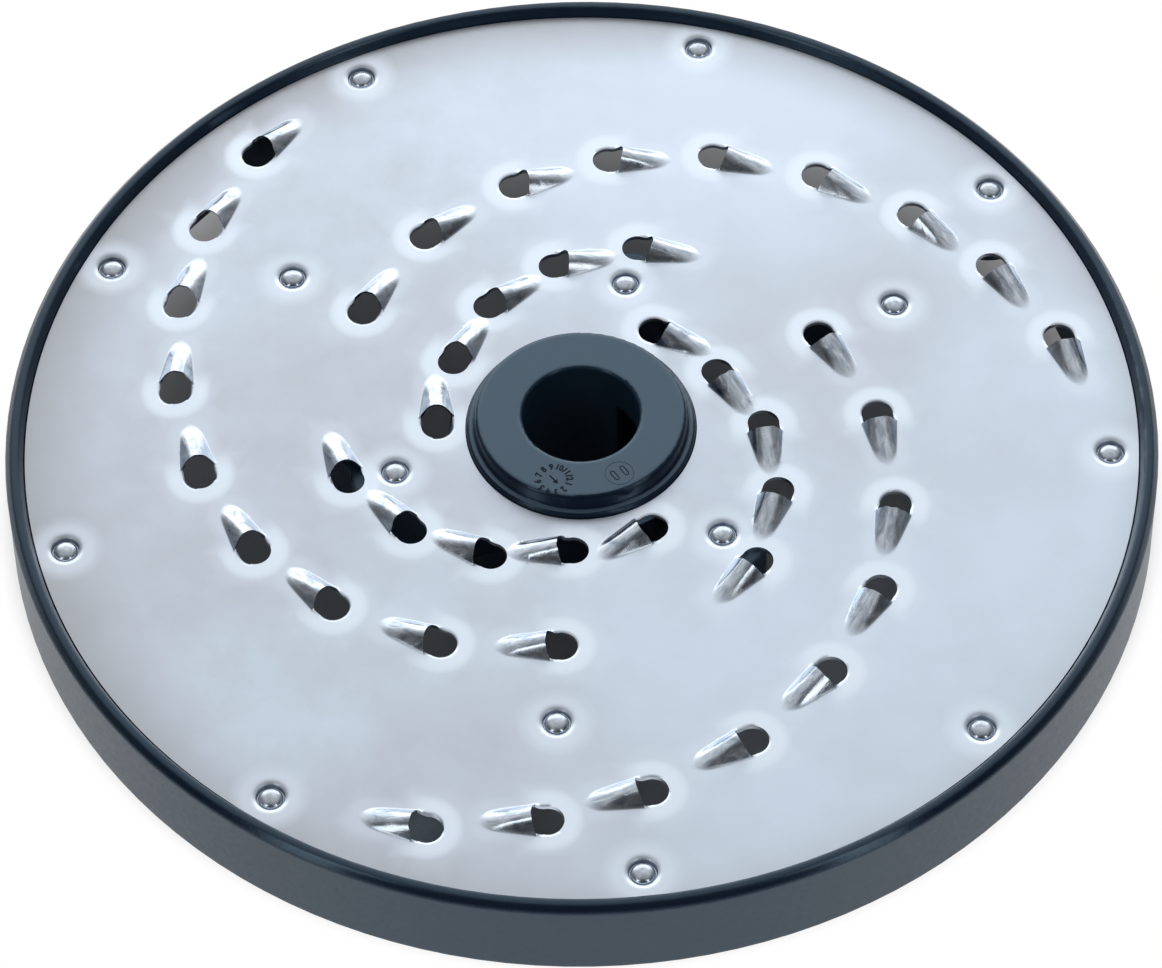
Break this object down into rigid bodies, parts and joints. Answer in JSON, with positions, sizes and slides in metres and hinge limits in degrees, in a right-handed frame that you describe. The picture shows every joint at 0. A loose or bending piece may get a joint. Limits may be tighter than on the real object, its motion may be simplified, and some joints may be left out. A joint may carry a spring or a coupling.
{
  "type": "food processor disc",
  "caption": "Grating disc for a vegetable cutter: moulded wheel with swept spokes and a bored hub, carrying a riveted steel plate with spiral rows of raised scoop teeth.",
  "frame": {"origin": "on the disc's axis, at the foot of the hub", "axes": "+Z along the disc's axis from the hub's foot towards the toothed side; the picture looks along +Y with +X to its right"},
  "size_m": [0.236, 0.236, 0.0369],
  "materials": {
    "carrier_plastic": "satin moulded dark blue-grey plastic",
    "plate_steel": "satin stainless sheet",
    "rivet_steel": "tumbled stainless"
  },
  "bodies": {
    "root": {"carrier_wheel": "carrier_plastic", "grater_plate": "plate_steel", "rivets": "rivet_steel"}
  },
  "joints": []
}
